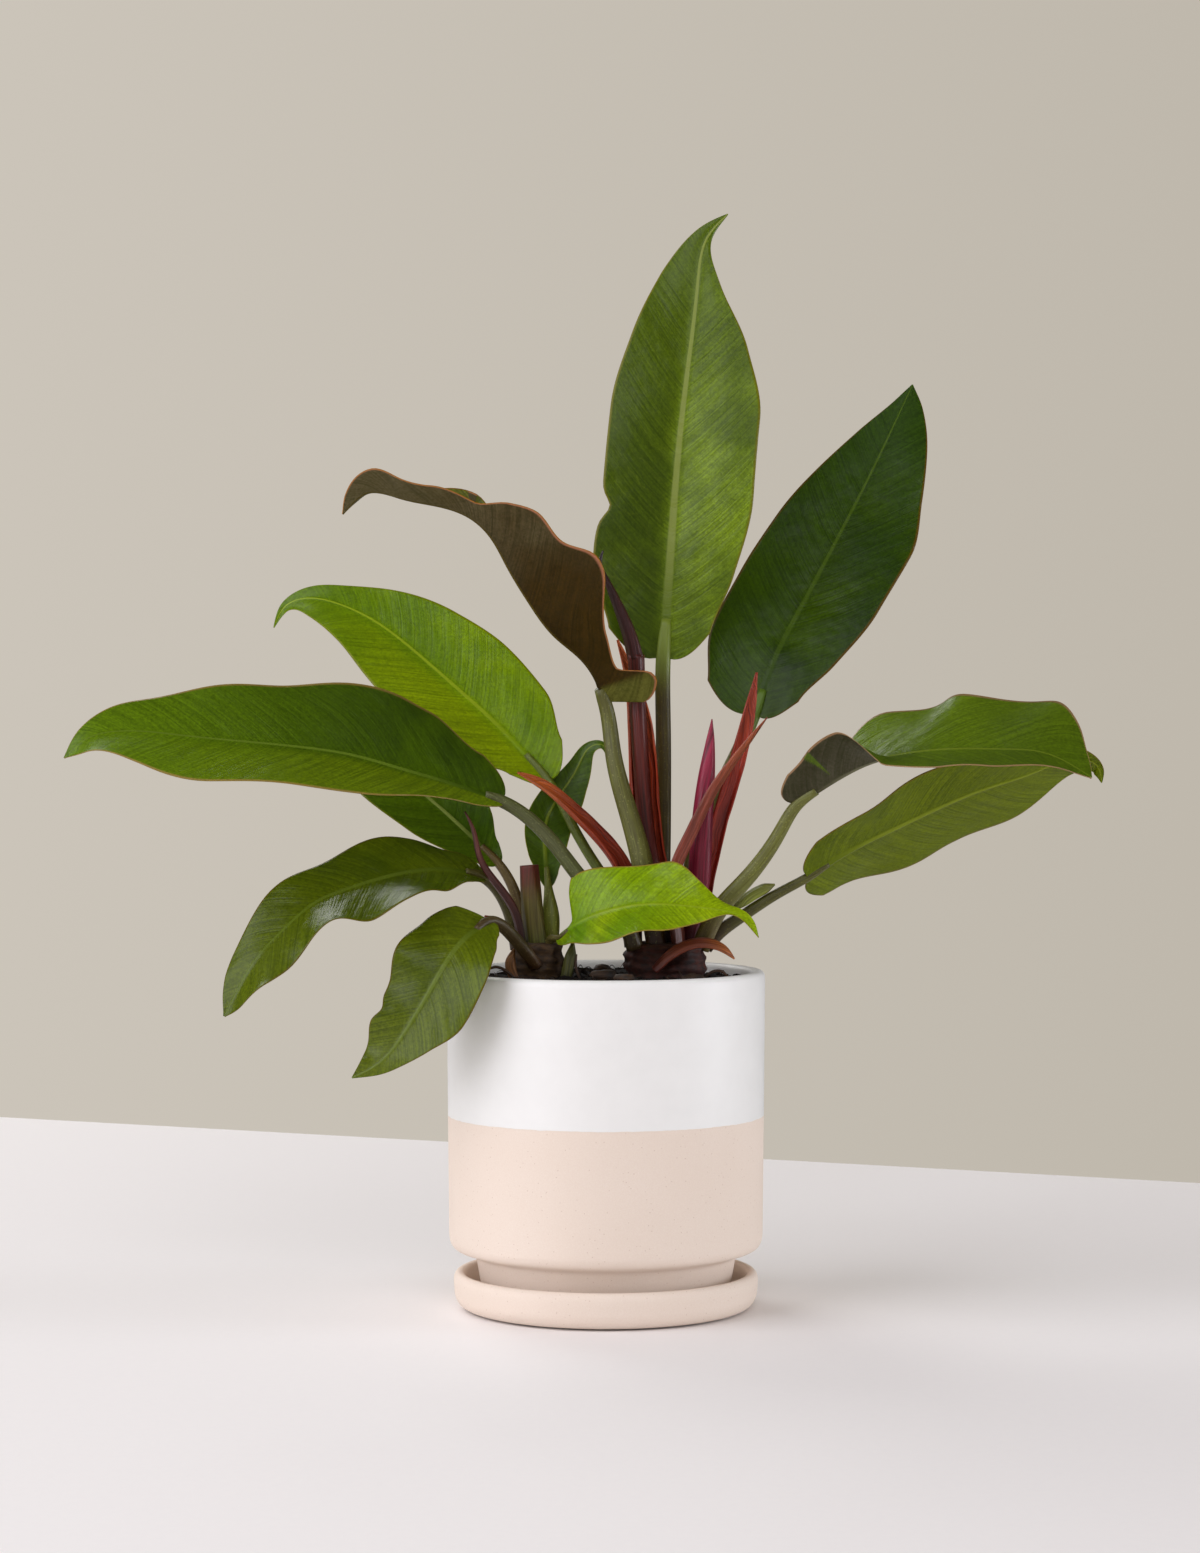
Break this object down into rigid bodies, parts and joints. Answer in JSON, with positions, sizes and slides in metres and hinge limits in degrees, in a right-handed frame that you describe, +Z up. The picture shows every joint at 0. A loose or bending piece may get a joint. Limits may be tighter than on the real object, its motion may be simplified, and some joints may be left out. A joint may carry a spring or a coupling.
{
  "type": "potted philodendron",
  "caption": "Living philodendron with long upright and arching leaves and red sheaths, planted in a cylindrical two-tone stoneware pot on a matching saucer.",
  "frame": {"origin": "middle of the saucer's flat underside, where it rests on the surface", "axes": "+Z up the pot's axis, -Y towards the side the leaves' upper faces mostly show to, +X to that viewer's right"},
  "size_m": [0.5327, 0.2056, 0.5749],
  "materials": {
    "blush_stoneware": "matte",
    "two_tone_stoneware": "matte",
    "potting_mix": "matte",
    "crown_bark": "matte",
    "dead_wood": "matte",
    "root_skin": "matte",
    "furled_leaf_skin": "satin",
    "red_petiole_skin": "satin",
    "crimson_spear_skin": "satin",
    "red_sheath_skin": "satin",
    "dry_sheath_skin": "matte",
    "green_scale_skin": "satin",
    "leaf_top_skin": "satin",
    "petiole_top_skin": "satin",
    "leaf_upper_right_skin": "satin",
    "petiole_upper_right_skin": "satin",
    "leaf_right_skin": "satin",
    "petiole_right_skin": "satin",
    "leaf_right_low_skin": "satin",
    "petiole_right_low_skin": "satin",
    "leaf_arching_left_skin": "satin",
    "petiole_arching_left_skin": "satin",
    "leaf_bright_left_skin": "satin",
    "petiole_bright_left_skin": "satin",
    "leaf_long_left_skin": "satin",
    "petiole_long_left_skin": "satin",
    "leaf_back_left_skin": "satin",
    "petiole_back_left_skin": "satin",
    "leaf_drooping_left_skin": "satin",
    "petiole_drooping_left_skin": "satin",
    "leaf_hanging_front_skin": "satin",
    "petiole_hanging_front_skin": "satin",
    "leaf_small_back_skin": "satin",
    "petiole_small_back_skin": "satin",
    "leaf_small_front_skin": "satin",
    "petiole_small_front_skin": "satin"
  },
  "bodies": {
    "root": {"bark_1": "dead_wood", "bark_2": "dead_wood", "bark_3": "dead_wood", "bark_4": "dead_wood", "leaf_arching_left": "leaf_arching_left_skin", "leaf_back_left": "leaf_back_left_skin", "leaf_bright_left": "leaf_bright_left_skin", "leaf_drooping_left": "leaf_drooping_left_skin", "leaf_furled": "furled_leaf_skin", "leaf_hanging_front": "leaf_hanging_front_skin", "leaf_long_left": "leaf_long_left_skin", "leaf_right": "leaf_right_skin", "leaf_right_low": "leaf_right_low_skin", "leaf_small_back": "leaf_small_back_skin", "leaf_small_front": "leaf_small_front_skin", "leaf_top": "leaf_top_skin", "leaf_upper_right": "leaf_upper_right_skin", "petiole_arching_left": "petiole_arching_left_skin", "petiole_back_left": "petiole_back_left_skin", "petiole_bright_left": "petiole_bright_left_skin", "petiole_drooping_left": "petiole_drooping_left_skin", "petiole_furled": "red_petiole_skin", "petiole_hanging_front": "petiole_hanging_front_skin", "petiole_long_left": "petiole_long_left_skin", "petiole_right": "petiole_right_skin", "petiole_right_low": "petiole_right_low_skin", "petiole_small_back": "petiole_small_back_skin", "petiole_small_front": "petiole_small_front_skin", "petiole_top": "petiole_top_skin", "petiole_upper_right": "petiole_upper_right_skin", "pot": "two_tone_stoneware", "potting_mix": "potting_mix", "root_far_right": "root_skin", "root_left": "root_skin", "root_middle": "root_skin", "root_right": "root_skin", "saucer": "blush_stoneware", "scale_left": "dry_sheath_skin", "scale_red": "red_sheath_skin", "scale_right": "green_scale_skin", "sheath_axil_right": "green_scale_skin", "sheath_centre": "red_sheath_skin", "sheath_crossing": "red_sheath_skin", "sheath_dried": "dry_sheath_skin", "sheath_left": "red_sheath_skin", "sheath_low_front": "dry_sheath_skin", "sheath_right_tall": "red_sheath_skin", "spear_crimson": "crimson_spear_skin", "stem_main": "crown_bark", "stem_side": "crown_bark", "stub_side": "green_scale_skin"}
  },
  "joints": []
}
